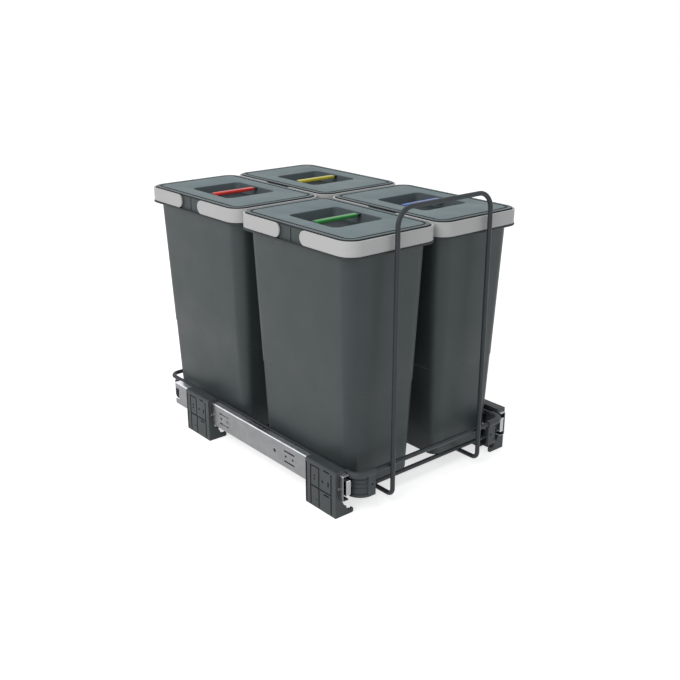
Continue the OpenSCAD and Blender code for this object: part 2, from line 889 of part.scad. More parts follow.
module bracket(y) {
    mid_z = slide_mid_z;
    u_rib = panel_rib_share * bracket_h;
    color([0.3, 0.32, 0.33])
        difference() {
            translate([wall_x, 0, 0])
                mirror([1, 0, 0]) {
                    run(y, bracket_l) bracket_profile();
                    for (rib_y = gusset_ys) run(y + rib_y, gusset_t) gusset_profile();
                    translate([0, y + gusset_ys[1], 0])
                        cube([foot_w - bead_r, gusset_ys[2] - gusset_ys[1] + gusset_t, foot_t]);
                }
            // Grooves between the moulded panels of the outer face
            for (s = panel_shares)
                translate([
                    wall_x - panel_groove_t,
                    y + s * bracket_l - panel_groove_w / 2,
                    panel_groove_w
                ])
                    cube([
                        2 * panel_groove_t,
                        panel_groove_w,
                        panel_top_share * bracket_h - panel_groove_w
                    ]);
            for (i = [0, 1])
                translate([wall_x - panel_groove_t, y + panel_shares[i] * bracket_l, u_rib])
                    cube([
                        2 * panel_groove_t,
                        (panel_shares[i + 1] - panel_shares[i]) * bracket_l,
                        panel_groove_w
                    ]);
            translate([
                wall_x - panel_groove_t,
                y + panel_shares[1] * bracket_l,
                panel_top_share * bracket_h - panel_groove_w
            ])
                cube([
                    2 * panel_groove_t,
                    (panel_shares[2] - panel_shares[1]) * bracket_l,
                    panel_groove_w
                ]);
            // Slots and pilot holes
            for (z = [panel_top_share * bracket_h, u_rib - slot_drop])
                slot_x(
                    wall_x - 2 * panel_groove_t, wall_x + cut, 0.18 * bracket_l, panel_groove_w,
                    y + 0.3 * bracket_l, z
                );
            rod_x(slide_face - cut, wall_x + cut, hole_d, y + 0.43 * bracket_l, mid_z);
            slot_up(
                wall_x - 2 * panel_groove_t, wall_x + cut, slot_rise, 1.4 * mark_d,
                y + 0.24 * bracket_l, mid_z
            );
            for (z = [-1, 1])
                rod_x(
                    wall_x - 2 * panel_groove_t, wall_x + cut, 1.8 * mark_d,
                    y + 0.7 * bracket_l, mid_z + 1.5 * z * mark_d
                );
            rod_x(
                wall_x - 2 * panel_groove_t, wall_x + cut, 1.3 * mark_d,
                y + 0.62 * bracket_l, 3 * foot_t
            );
            // Bores of the slide screws, the adjuster and the foot's screw
            for (s = screw_shares)
                rod_x(
                    slide_face - cut, wall_x - panel_groove_t - bracket_fit, screw_d + 2 * screw_fit,
                    y + s * bracket_l, slide_mid_z
                );
            rod_y(
                y - cut, y + adjuster_l + screw_fit, adjuster_d + 2 * screw_fit,
                wall_x - adjuster_share * bracket_t, mid_z - adjuster_drop
            );
            translate([wall_x - foot_hole_u, y + bracket_l / 2, -cut])
                cylinder(d = foot_hole_d, h = slide_z);
        }
}

// The small adjusting screws in the brackets' front ends
module adjuster_screws() {
    color([0.8, 0.81, 0.82])
        for (m = [0, 1], y = bracket_ys)
            mirror([m, 0, 0]) {
                rod_y(
                    y, y + adjuster_l, adjuster_d, wall_x - adjuster_share * bracket_t,
                    slide_mid_z - adjuster_drop
                );
                rod_y(
                    y - adjuster_proud, y, adjuster_head_d,
                    wall_x - adjuster_share * bracket_t, slide_mid_z - adjuster_drop
                );
            }
}

left() bracket(bracket_ys[0]);  // bracket_front_left
bracket(bracket_ys[0]);  // bracket_front_right
left() bracket(bracket_ys[1]);  // bracket_rear_left
bracket(bracket_ys[1]);  // bracket_rear_right
adjuster_screws();
left() slide_screws();  // slide_screws_left
slide_screws();  // slide_screws_right
left() slide_outer();  // slide_outer_left
slide_outer();  // slide_outer_right
left() slide_middle();  // slide_middle_left
slide_middle();  // slide_middle_right
left() slide_inner();  // slide_inner_left
slide_inner();  // slide_inner_right
left() ball_cage_outer();  // ball_cage_outer_left
ball_cage_outer();  // ball_cage_outer_right
left() ball_cage_inner();  // ball_cage_inner_left
ball_cage_inner();  // ball_cage_inner_right
left() rail();  // rail_left
rail();  // rail_right
left() rail_rivets();  // rail_rivets_left
rail_rivets();  // rail_rivets_right
wire_loop();
front_hoop();
cross_wire(cross_ys[0]);  // cross_wire_front
cross_wire(cross_ys[1]);  // cross_wire_middle_front
cross_wire(cross_ys[2]);  // cross_wire_middle_rear
cross_wire(cross_ys[3]);  // cross_wire_rear
left() corner_block();  // corner_block_left
corner_block();  // corner_block_right
block_screws();
at_bucket(-1, front_row_y) bucket();  // bucket_front_left
at_bucket(1, front_row_y) bucket();  // bucket_front_right
at_bucket(-1, rear_row_y) bucket();  // bucket_rear_left
at_bucket(1, rear_row_y) bucket();  // bucket_rear_right
at_bucket(-1, front_row_y) lid();  // lid_front_left
at_bucket(1, front_row_y) lid();  // lid_front_right
at_bucket(-1, rear_row_y) lid();  // lid_rear_left
at_bucket(1, rear_row_y) lid();  // lid_rear_right
at_bucket(-1, front_row_y) grip([0.2, 0.55, 0.3]);  // grip_front_left
at_bucket(1, front_row_y) grip([0.3, 0.4, 0.75]);  // grip_front_right
at_bucket(-1, rear_row_y) grip([0.8, 0.25, 0.22]);  // grip_rear_left
at_bucket(1, rear_row_y) grip([0.85, 0.75, 0.2]);  // grip_rear_right
at_bucket(-1, front_row_y) handle(-1);  // handle_a_front_left
at_bucket(1, front_row_y) handle(-1);  // handle_a_front_right
at_bucket(-1, rear_row_y) handle(-1);  // handle_a_rear_left
at_bucket(1, rear_row_y) handle(-1);  // handle_a_rear_right
at_bucket(-1, front_row_y) handle(1);  // handle_b_front_left
at_bucket(1, front_row_y) handle(1);  // handle_b_front_right
at_bucket(-1, rear_row_y) handle(1);  // handle_b_rear_left
at_bucket(1, rear_row_y) handle(1);  // handle_b_rear_right
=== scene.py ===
"""Looks, floor, light and camera of the pull-out waste unit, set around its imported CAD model."""

import math

import bmesh
import bpy
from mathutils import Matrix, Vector


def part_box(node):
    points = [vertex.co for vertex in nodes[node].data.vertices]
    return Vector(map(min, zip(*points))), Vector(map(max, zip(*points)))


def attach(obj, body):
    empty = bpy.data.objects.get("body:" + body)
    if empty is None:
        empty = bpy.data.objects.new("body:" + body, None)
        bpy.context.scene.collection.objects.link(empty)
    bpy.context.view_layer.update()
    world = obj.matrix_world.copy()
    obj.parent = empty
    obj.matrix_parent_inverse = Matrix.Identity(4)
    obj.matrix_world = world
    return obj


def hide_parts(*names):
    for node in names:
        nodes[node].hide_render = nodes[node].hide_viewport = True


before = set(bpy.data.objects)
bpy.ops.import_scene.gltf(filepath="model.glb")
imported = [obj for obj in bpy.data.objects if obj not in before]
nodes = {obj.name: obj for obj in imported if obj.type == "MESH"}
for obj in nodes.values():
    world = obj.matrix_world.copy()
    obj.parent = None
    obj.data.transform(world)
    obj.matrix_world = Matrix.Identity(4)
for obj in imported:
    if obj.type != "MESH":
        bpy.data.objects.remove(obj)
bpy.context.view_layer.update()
scene = bpy.context.scene
MM = 0.001

# Driving sizes in mm, as in the CAD source
BUCKET_W, BUCKET_L, BUCKET_H = 166.8, 252, 373
COLUMN_GAP, ROW_GAP = 2.8, 5.5
WALL_T = 2
RIM_INSET, BASE_INSET = 10, 24
WALL_RIM_R, WALL_BASE_R, BASE_ROUND = 22, 16, 3
STEP_H, STEP_T = 143, 0.8
LEDGE_T, LEDGE_PROUD = 3, 0.8
BAND_H, BAND_T, BAND_R = 21, 3.2, 24.5
ARM_GAP, PIN_D = 46, 5
LID_PROUD, LID_T, RING_W = 1.6, 2.4, 6.6
RECESS_L, RECESS_W, RECESS_H, RECESS_R = 106, 90, 18, 9
GRIP_W, GRIP_H, GRIP_DROP = 9, 5, 0.2
WIRE_D = 7
LOOP_X, LOOP_Z, LOOP_R = 153.5, 63.7, 16
LOOP_LEAD, LOOP_REAR_INSET = 0.4, 7.3
BED_Z, BEND_R = 24.1, 10
HOOP_W, HOOP_R, HOOP_OVER = 180, 25, 39.4

# Gaps in mm between pieces that touch or that move past each other
WELD_GAP, BAND_GAP = 0.05, 0.3
RIM_SIDE_GAP, RIM_END_GAP = 0.5, 1.4

# Heights and places in mm
BUCKET_Z = BED_Z + WIRE_D / 2 + WELD_GAP
BAND_TOP = BUCKET_Z + BUCKET_H
LEDGE_Z = BAND_TOP - BAND_H - BAND_GAP - LEDGE_T
WALL_H = LEDGE_Z - BUCKET_Z
LID_TOP = BAND_TOP + LID_PROUD
RIM_FOOT, RIM_TOP = LEDGE_Z + LEDGE_T, LID_TOP - LID_T
RIM_W = BUCKET_W - 2 * (BAND_T + RIM_SIDE_GAP)
RIM_L = BUCKET_L - 2 * (BAND_T + RIM_END_GAP)
RIM_R = BAND_R - BAND_T - RIM_SIDE_GAP
PIVOT_Y, PIVOT_Z = ARM_GAP / 2 + BAND_H / 2, BAND_TOP - BAND_H / 2
ROWS_Y = -249.675
COLUMN_X = (BUCKET_W + COLUMN_GAP) / 2
FRONT_Y = ROWS_Y + BUCKET_L / 2
REAR_Y = FRONT_Y + BUCKET_L + ROW_GAP
LOOP_FRONT_Y = ROWS_Y - LOOP_LEAD
LOOP_REAR_Y = ROWS_Y + 2 * BUCKET_L + ROW_GAP - LOOP_REAR_INSET
HOOP_Y = LOOP_FRONT_Y - WIRE_D - WELD_GAP
HOOP_TOP = BAND_TOP + HOOP_OVER - WIRE_D / 2
HOOP_FOOT_Z = BED_Z - WIRE_D - WELD_GAP
BED_REACH = BUCKET_L / 2 - BASE_INSET - STEP_T - BASE_ROUND - WELD_GAP
BED_YS = [y + side * BED_REACH for y in (FRONT_Y, REAR_Y) for side in (-1, 1)]
BINS = {
    "front_left": (-COLUMN_X, FRONT_Y, "grip_green"),
    "front_right": (COLUMN_X, FRONT_Y, "grip_blue"),
    "rear_left": (-COLUMN_X, REAR_Y, "grip_red"),
    "rear_right": (COLUMN_X, REAR_Y, "grip_yellow"),
}


# Materials
class Shader:
    """A small builder of shader nodes."""

    def __init__(self, name):
        self.material = bpy.data.materials.new(name)
        self.material.use_nodes = True
        self.tree = self.material.node_tree
        self.principled = self.tree.nodes["Principled BSDF"]
        self.coord = self.tree.nodes.new("ShaderNodeTexCoord").outputs["Object"]

    def link(self, output, socket):
        self.tree.links.new(output, socket)

    def stretched(self, x, y, z):
        node = self.tree.nodes.new("ShaderNodeMapping")
        node.inputs["Scale"].default_value = (x, y, z)
        self.link(self.coord, node.inputs["Vector"])
        return node.outputs["Vector"]

    def noise(self, scale, detail=2.0, coord=None, rough=0.5):
        node = self.tree.nodes.new("ShaderNodeTexNoise")
        node.inputs["Scale"].default_value = scale
        node.inputs["Detail"].default_value = detail
        node.inputs["Roughness"].default_value = rough
        self.link(coord or self.coord, node.inputs["Vector"])
        return node.outputs["Fac"]

    def cells(self, scale):
        node = self.tree.nodes.new("ShaderNodeTexVoronoi")
        node.inputs["Scale"].default_value = scale
        self.link(self.coord, node.inputs["Vector"])
        return node.outputs["Color"]

    def ramp(self, value, low, high, to_low, to_high):
        node = self.tree.nodes.new("ShaderNodeMapRange")
        ends = {"From Min": low, "From Max": high, "To Min": to_low, "To Max": to_high}
        for socket, number in ends.items():
            node.inputs[socket].default_value = number
        self.link(value, node.inputs["Value"])
        return node.outputs["Result"]

    def mix(self, share, first, second):
        """A mix of two colours, each a linear colour or another node's output."""
        node = self.tree.nodes.new("ShaderNodeMix")
        node.data_type = "RGBA"
        factor, a, b = (node.inputs[i] for i in (0, 6, 7))
        self.link(share, factor)
        for socket, colour in ((a, first), (b, second)):
            if isinstance(colour, tuple):
                socket.default_value = (*colour, 1)
            else:
                self.link(colour, socket)
        return node.outputs[2]

    def bump(self, height, distance, strength):
        node = self.tree.nodes.new("ShaderNodeBump")
        node.inputs["Strength"].default_value = strength
        node.inputs["Distance"].default_value = distance
        self.link(height, node.inputs["Height"])
        return node.outputs["Normal"]

    def finish(self, **sockets):
        for name, value in sockets.items():
            socket = self.principled.inputs[name.replace("_", " ")]
            if hasattr(value, "is_linked"):
                self.link(value, socket)
            else:
                socket.default_value = value
        return self.material


def linear(rgb):
    """sRGB bytes as linear numbers."""
    return tuple(
        round(c / 12.92 if c <= 0.04045 else ((c + 0.055) / 1.055) ** 2.4, 5)
        for c in (byte / 255 for byte in rgb)
    )


def scaled(colour, factor):
    """A colour made lighter or darker, up to white."""
    return tuple(min(1, c * factor) for c in colour)


def plastic(name, rgb, rough, grain, spread, depth):
    """Moulded plastic: faint flow marks, a fine eroded grain with its depth in mm, and handling wear."""
    shader = Shader(name)
    dark, light = (scaled(linear(rgb), 1 + way * spread) for way in (-1, 1))
    flow = shader.noise(9, 3, shader.stretched(1, 1, 0.35))
    mottle = shader.noise(grain * 0.3)
    colour = shader.mix(shader.ramp(flow, 0.35, 0.65, 0, 1), dark, light)
    colour = shader.mix(shader.ramp(mottle, 0.3, 0.7, 0, 0.35), colour, light)
    smudge = shader.noise(22, 4, rough=0.6)
    return shader.finish(
        Base_Color=colour,
        Roughness=shader.ramp(smudge, 0.3, 0.75, rough - 0.05, rough + 0.06),
        Normal=shader.bump(shader.noise(grain), depth * MM, 0.45),
        IOR=1.49,
        Specular_IOR_Level=0.3,
    )


def powder_coat(name, rgb):
    """Coated wire: a speckled colour and the coat's orange peel."""
    shader = Shader(name)
    base = linear(rgb)
    speck = shader.noise(3800, 1)
    wear = shader.noise(40, 3)
    peel = shader.noise(900)
    return shader.finish(
        Base_Color=shader.mix(shader.ramp(speck, 0.45, 0.7, 0, 1), base, scaled(base, 1.25)),
        Roughness=shader.ramp(wear, 0.3, 0.7, 0.36, 0.5),
        Normal=shader.bump(peel, 0.06 * MM, 0.5),
        IOR=1.5,
        Specular_IOR_Level=0.3,
    )


def steel(name, rgb, rough, streak=(900, 6, 900)):
    """Galvanised steel: drawn marks stretched by streak, soft spangle and faint dull patches."""
    shader = Shader(name)
    base = linear(rgb)
    drawn = shader.noise(1, 3, shader.stretched(*streak))
    cloud = shader.noise(60, 4)
    spangle = shader.cells(420)
    grey = shader.mix(shader.ramp(cloud, 0.35, 0.7, 0, 1), scaled(base, 0.9), scaled(base, 1.05))
    grey = shader.mix(shader.ramp(spangle, 0, 1, 0, 0.12), grey, scaled(base, 0.7))
    return shader.finish(
        Base_Color=grey,
        Metallic=1.0,
        Roughness=shader.ramp(drawn, 0.3, 0.7, rough - 0.06, rough + 0.1),
        Normal=shader.bump(drawn, 0.02 * MM, 0.35),
    )


MATERIALS = {
    "bracket": plastic("bracket_plastic", (68, 74, 76), 0.52, 3200, 0.06, 0.05),
    "screw": steel("zinc_screw", (205, 207, 208), 0.25, (300, 300, 300)),
    "slide": steel("galvanised_steel", (140, 141, 143), 0.4),
    "inner": steel("galvanised_inner", (205, 206, 208), 0.34),
    "tab": steel("tab_steel", (172, 173, 175), 0.4),
    # Painted highlight: a near-white steel for the slide's top edge
    "edge": steel("top_painted_highlight_steel", (244, 246, 250), 0.3),
    "cage": steel("cage_steel", (190, 190, 184), 0.35),
    "wire": powder_coat("powder_coat", (47, 53, 56)),
    "block": plastic("block_plastic", (66, 72, 75), 0.52, 3200, 0.06, 0.05),
    "bucket": plastic("bucket_plastic", (62, 70, 71), 0.46, 2400, 0.05, 0.04),
    "bucket_in": plastic("bucket_inside", (58, 65, 67), 0.4, 2400, 0.05, 0.02),
    "lid": plastic("lid_panel", (93, 112, 117), 0.48, 2600, 0.04, 0.03),
    "ring": plastic("lid_ring", (74, 86, 90), 0.42, 2600, 0.04, 0.02),
    "recess": plastic("recess_plastic", (88, 98, 102), 0.6, 2400, 0.05, 0.04),
    # Painted shade: a darker plastic for the recess floor and the grip bar's ends
    "recess_floor": plastic("recess_floor_painted_shade", (46, 53, 56), 0.6, 2400, 0.05, 0.04),
    # Painted shade: a darker plastic for the ledge under the band
    "ledge": plastic("ledge_painted_shade_plastic", (46, 52, 54), 0.5, 2400, 0.05, 0.03),
    # Painted shade: a near-black plastic for grooves, the rim seam, the lid's side and the slide's hole
    "groove": plastic("painted_shade_plastic", (27, 31, 33), 0.6, 2400, 0.05, 0.02),
    "handle": plastic("handle_plastic", (192, 193, 193), 0.42, 2400, 0.03, 0.03),
    "grip_green": plastic("green_plastic", (64, 152, 76), 0.34, 2400, 0.04, 0.02),
    "grip_blue": plastic("blue_plastic", (70, 112, 200), 0.34, 2400, 0.04, 0.02),
    "grip_red": plastic("red_plastic", (222, 62, 56), 0.34, 2400, 0.04, 0.02),
    "grip_yellow": plastic("yellow_plastic", (206, 196, 66), 0.34, 2400, 0.04, 0.02),
}


# Outlines
def circle(count):
    """The angles, in radians, of points spread evenly round a circle."""
    return [2 * math.pi * i / count for i in range(count)]


def quarter(start, steps):
    """The angles, in radians, of a quarter turn from a start in degrees."""
    return [math.radians(start + 90 * i / steps) for i in range(steps + 1)]


def arc(inset, height, radius, start, end, steps):
    """Points (inset, height) of an arc between two angles in degrees."""
    angles = [math.radians(start + (end - start) * i / steps) for i in range(steps + 1)]
    return [(inset + radius * math.cos(a), height + radius * math.sin(a)) for a in angles]


def disc(x, y, z, radius, count):
    """Points of a circle about an axis along X."""
    return [(x, y + radius * math.cos(a), z + radius * math.sin(a)) for a in circle(count)]


def corners(width, length, radius, steps):
    """The points of each corner of a rounded rectangle about the origin."""
    x, y = width / 2 - radius, length / 2 - radius
    return [
        [(sx * x + radius * math.cos(a), sy * y + radius * math.sin(a)) for a in quarter(90 * k, steps)]
        for k, (sx, sy) in enumerate(((1, 1), (-1, 1), (-1, -1), (1, -1)))
    ]


def bend(centre, start, end, radius, steps=10):
    """Points of a quarter turn about centre, from the direction start to the direction end."""
    centre, start, end = Vector(centre), Vector(start), Vector(end)
    return [tuple(centre + radius * (start * math.cos(a) + end * math.sin(a))) for a in quarter(0, steps)]


# Meshes
def loft(rings, closed=False):
    """Faces between rings of equal length. closed joins the last to the first, and open ends get caps."""
    verts = [point for ring in rings for point in ring]
    count, last = len(rings[0]), len(rings) - 1
    faces = []
    for i in range(len(rings) if closed else last):
        low, high = i * count, (i + 1) % len(rings) * count
        for j in range(count):
            k = (j + 1) % count
            faces.append((low + j, low + k, high + k, high + j))
    if not closed:
        faces.append(tuple(reversed(range(count))))
        faces.append(tuple(range(last * count, (last + 1) * count)))
    return verts, faces


def new_mesh(name, verts, faces):
    """A mesh from points in mm."""
    mesh = bpy.data.meshes.new(name)
    mesh.from_pydata([tuple(c * MM for c in v) for v in verts], [], faces)
    return mesh


def new_object(name, data):
    obj = bpy.data.objects.new(name, data)
    scene.collection.objects.link(obj)
    return obj


def smoothed(mesh, angle):
    mesh.shade_smooth()
    mesh.set_sharp_from_angle(angle=math.radians(angle))


def place(name, mesh, body, slot, replaced, smooth):
    """Sets a mesh in the scene, on its body and in place of the CAD nodes that it replaces."""
    smoothed(mesh, smooth)
    obj = new_object(name, mesh)
    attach(obj, body)
    if replaced:
        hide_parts(*replaced)
    return obj


def piece(name, shape, materials, body, slot, replaced, smooth, looks=None):
    """A piece from a shape's points in mm and faces. looks names the material of each face."""
    mesh = new_mesh(name, *shape)
    for material in materials:
        mesh.materials.append(MATERIALS[material])
    if looks:
        mesh.polygons.foreach_set("material_index", [materials.index(look) for look in looks])
    bm = bmesh.new()
    bm.from_mesh(mesh)
    bmesh.ops.remove_doubles(bm, verts=bm.verts, dist=0.002 * MM)
    bmesh.ops.recalc_face_normals(bm, faces=bm.faces)
    bm.to_mesh(mesh)
    bm.free()
    return place(name, mesh, body, slot, replaced, smooth)


SHARP_EDGE, LEAST_EDGE = math.radians(40), 0.3


def softened(node, material, slot, body, width, accent=None, where=None):
    """The CAD node's shape with its edges rounded, as a moulding or a rolled strip has them.

    Faces for which where(centre in mm, normal) holds get the accent's material.
    """
    bm = bmesh.new()
    bm.from_mesh(nodes[node].data)
    bmesh.ops.remove_doubles(bm, verts=bm.verts, dist=0.001 * MM)
    bmesh.ops.dissolve_limit(bm, angle_limit=math.radians(0.6), verts=bm.verts, edges=bm.edges)
    edges = [
        edge
        for edge in bm.edges
        if len(edge.link_faces) == 2
        and edge.calc_face_angle(0) > SHARP_EDGE
        and edge.calc_length() > LEAST_EDGE * MM
    ]
    bmesh.ops.bevel(
        bm,
        geom=edges,
        offset=width * MM,
        segments=2,
        profile=0.6,
        affect="EDGES",
        clamp_overlap=True,
    )
    bm.normal_update()
    if accent:
        for face in bm.faces:
            face.material_index = int(where(face.calc_center_median() / MM, face.normal))
    mesh = bpy.data.meshes.new(node + "_look")
    bm.to_mesh(mesh)
    bm.free()
    for name in filter(None, (material, accent)):
        mesh.materials.append(MATERIALS[name])
    obj = place(node + "_look", mesh, body, slot, [node], 40)
    weighted = obj.modifiers.new("weighted", "WEIGHTED_NORMAL")
    weighted.keep_sharp = True


def cut(obj, shape):
    """Cuts a shape out of an object for good."""
    cutter = new_object("cutter", new_mesh("cutter", *shape))
    mod = obj.modifiers.new("cut", "BOOLEAN")
    mod.operation, mod.solver, mod.object = "DIFFERENCE", "EXACT", cutter
    bpy.context.view_layer.update()
    evaluated = obj.evaluated_get(bpy.context.evaluated_depsgraph_get())
    result = bpy.data.meshes.new_from_object(evaluated)
    obj.modifiers.remove(mod)
    obj.data = result
    bpy.data.objects.remove(cutter)


# Rings of the buckets and lids: four points on each long side can dent to a seam
SEAM_EDGE, SEAM_FLOOR, SEAM_DEPTH = 1.1, 0.6, 0.7
CORNER_STEPS = 10
HALF_RING = 4 + 2 * (CORNER_STEPS + 1)
SEAM_FACES = [start + i for start in (0, HALF_RING) for i in range(3)]


class Shell:
    """Rings about x, y for one closed shape, each with the look of the faces that start at it."""

    def __init__(self, x, y):
        self.x, self.y = x, y
        self.rings, self.looks = [], []

    def add(self, width, length, radius, z, look, dent=0.0):
        seam = ((-SEAM_EDGE, 0), (-SEAM_FLOOR, dent), (SEAM_FLOOR, dent), (SEAM_EDGE, 0))
        right = [(width / 2 - depth, along) for along, depth in seam]
        left = [(-x, -y) for x, y in right]
        back_right, back_left, front_left, front_right = corners(width, length, radius, CORNER_STEPS)
        outline = right + back_right + back_left + left + front_left + front_right
        self.rings.append([(x + self.x, y + self.y, z) for x, y in outline])
        self.looks.append(look)

    def rim(self, inset, z, look, dent=0.0):
        """A ring of the rim's outline, set in by inset."""
        self.add(RIM_W - 2 * inset, RIM_L - 2 * inset, RIM_R - inset, z, look, dent)

    def face_looks(self):
        """The look of each face that loft makes of the rings."""
        sides = [look for look in self.looks[:-1] for _ in self.rings[0]]
        return sides + [self.looks[0], self.looks[-1]]


# Buckets
LOWER_WALL = (40, 90, STEP_H - 0.9)
UPPER_WALL = (STEP_H + 0.8, 200, 260, 310)
PIN_REACH, PIN_CHAMFER = 2.4, 0.4


def bucket_rim(shell):
    """Ledge with rounded edges and painted shade, rim wall with its seam, and the rounded top. Returns
    the seam's rings.
    """
    for inset, z in arc(1, 1, 1, 270, 180, 4) + arc(1, LEDGE_T - 1, 1, 180, 90, 4):
        out = LEDGE_PROUD - inset
        shell.add(BUCKET_W + 2 * out, BUCKET_L + 2 * out, BAND_R + out, LEDGE_Z + z, "ledge")
    shell.rim(-0.5, RIM_FOOT, "bucket")
    shell.rim(0, RIM_FOOT + 0.5, "bucket")
    seam_rings = (len(shell.rings), len(shell.rings) + 1)
    for z in (RIM_FOOT + 0.6, RIM_TOP - 0.7):
        shell.rim(0, z, "bucket", SEAM_DEPTH)
    for inset, z in arc(0.6, -0.6, 0.6, 180, 90, 3) + arc(WALL_T - 0.6, -0.6, 0.6, 90, 0, 3):
        shell.rim(inset, RIM_TOP + z, "bucket_in")
    return seam_rings


def pivot_pins(x, y):
    """The shapes of the four pins that the handles turn on."""
    root = RIM_W / 2 - 0.4
    shoulder, tip = RIM_W / 2 + PIN_REACH - PIN_CHAMFER, RIM_W / 2 + PIN_REACH
    stations = ((root, PIN_D / 2), (shoulder, PIN_D / 2), (tip, PIN_D / 2 - PIN_CHAMFER))
    return [
        loft([disc(x + sx * out, y + sy * PIVOT_Y, PIVOT_Z, radius, 24) for out, radius in stations])
        for sx in (-1, 1)
        for sy in (-1, 1)
    ]


def bucket(name, x, y):
    shell = Shell(x, y)

    def wall(height, inset, look):
        share = height / WALL_H
        grow = BASE_INSET + (RIM_INSET - BASE_INSET) * share + inset
        radius = WALL_BASE_R + (WALL_RIM_R - WALL_BASE_R) * share - inset
        shell.add(BUCKET_W - 2 * grow, BUCKET_L - 2 * grow, radius, BUCKET_Z + height, look)

    # Outside: rounded base, lower wall, moulded step, upper wall and the flare under the ledge
    for dx, dz in arc(0, 0, 1, 270, 360, 5):
        wall(BASE_ROUND * (1 + dz), STEP_T + BASE_ROUND * (1 - dx), "bucket")
    for height in LOWER_WALL:
        wall(height, STEP_T, "bucket")
    wall(STEP_H - 0.3, STEP_T * 0.8, "bucket")
    wall(STEP_H + 0.2, STEP_T * 0.2, "bucket")
    for height in (*UPPER_WALL, WALL_H - 2.2):
        wall(height, 0, "bucket")
    for flare, z in ((0.4, -0.8), (1.4, -0.2), (2.6, 0)):
        inset = RIM_INSET - flare
        shell.add(BUCKET_W - 2 * inset, BUCKET_L - 2 * inset, WALL_RIM_R + flare, LEDGE_Z + z, "bucket")
    seam_rings = bucket_rim(shell)

    # Inside, from the rim down to the floor
    shell.rim(WALL_T, RIM_FOOT - 1, "bucket_in")
    shell.rim(WALL_T + 0.8, LEDGE_Z + 1, "bucket_in")
    wall(WALL_H - 0.5, WALL_T - 1.2, "bucket_in")
    for height in (WALL_H - 3, *reversed(UPPER_WALL)):
        wall(height, WALL_T, "bucket_in")
    for height in reversed(LOWER_WALL):
        wall(height, WALL_T + STEP_T, "bucket_in")
    for dx, dz in arc(0, 0, 1, 0, -90, 4):
        wall(WALL_T + BASE_ROUND * (1 + dz), WALL_T + STEP_T + BASE_ROUND * (1 - dx), "bucket_in")

    verts, faces = loft(shell.rings)
    looks = shell.face_looks()
    # The seam's dent faces take the near-black plastic as painted shade
    for ring in seam_rings:
        for face in SEAM_FACES:
            looks[ring * 2 * HALF_RING + face] = "groove"
    for pin_verts, pin_faces in pivot_pins(x, y):
        faces += [tuple(len(verts) + i for i in face) for face in pin_faces]
        looks += ["bucket"] * len(pin_faces)
        verts += pin_verts
    piece(
        f"bucket_{name}_look", (verts, faces), ["bucket", "bucket_in", "groove", "ledge"],
        "bucket_body_" + name, "bucket", ["bucket_" + name], 40, looks,
    )


# Handles
HANDLE_EDGE = 0.8
BORE_R, BORE_X = PIN_D / 2 + 0.06, BUCKET_W / 2 - BAND_T + 2.12


def handle_path():
    """The band's middle line: place, outward direction, and distance past the pin towards the tip."""
    side, end = BUCKET_W / 2 - BAND_T / 2, BUCKET_L / 2 - BAND_T / 2
    radius = BAND_R - BAND_T / 2
    half = []
    for a in quarter(0, 12):
        past = BAND_H / 2 * math.cos(a)
        half.append((-side, PIVOT_Y - past, -1, 0, past))
    half.append((-side, (PIVOT_Y + end - radius) / 2, -1, 0, 0))
    for a in reversed(quarter(90, 14)):
        nx, ny = math.cos(a), math.sin(a)
        half.append((-side + radius + radius * nx, end - radius + radius * ny, nx, ny, 0))
    return half + [(0, end, 0, 1, 0)] + [(-x, y, -nx, ny, past) for x, y, nx, ny, past in reversed(half)]


def handle(name, end, sy, x, y):
    """A bail handle round one end of the rim, as it lies at rest, with round tips and edges."""
    rings = []
    for px, py, nx, ny, past in handle_path():
        half_h = math.sqrt(max((BAND_H / 2) ** 2 - past**2, 0))
        outer, inner = [], []
        for k in range(13):
            z = half_h * math.sin(math.radians(-90 + 180 * k / 12))
            over = max(math.hypot(past, z) - (BAND_H / 2 - HANDLE_EDGE), 0)
            t = BAND_T / 2 - HANDLE_EDGE + math.sqrt(max(HANDLE_EDGE**2 - over**2, 0))
            outer.append((x + px + nx * t, y + sy * (py + ny * t), PIVOT_Z + z))
            inner.append((x + px - nx * t, y + sy * (py - ny * t), PIVOT_Z + z))
        rings.append(outer + inner[::-1])
    obj = piece(
        f"handle_{end}_{name}_look", loft(rings), ["handle"],
        f"handle_body_{end}_{name}", "handle", [f"handle_{end}_{name}"], 40,
    )
    cut(obj, loft([disc(x + way * BORE_X, y + sy * PIVOT_Y, PIVOT_Z, BORE_R, 32) for way in (-1, 1)]))
    smoothed(obj.data, 40)


# Lids
GROOVE_START, GROOVE_END, GROOVE_DEPTH = RING_W - 0.4, RING_W + 3.2, 1.1
GRIP_ROUND = 1.4
# Places across the recess and the share of the grip bar's section there: its ends, painted dark as shade,
# are thinner
GRIP_STATIONS = ((15, 1), (37.4, 1), (38, 0.9), (38.4, 0.7), (RECESS_W / 2 + 1.1, 0.7))


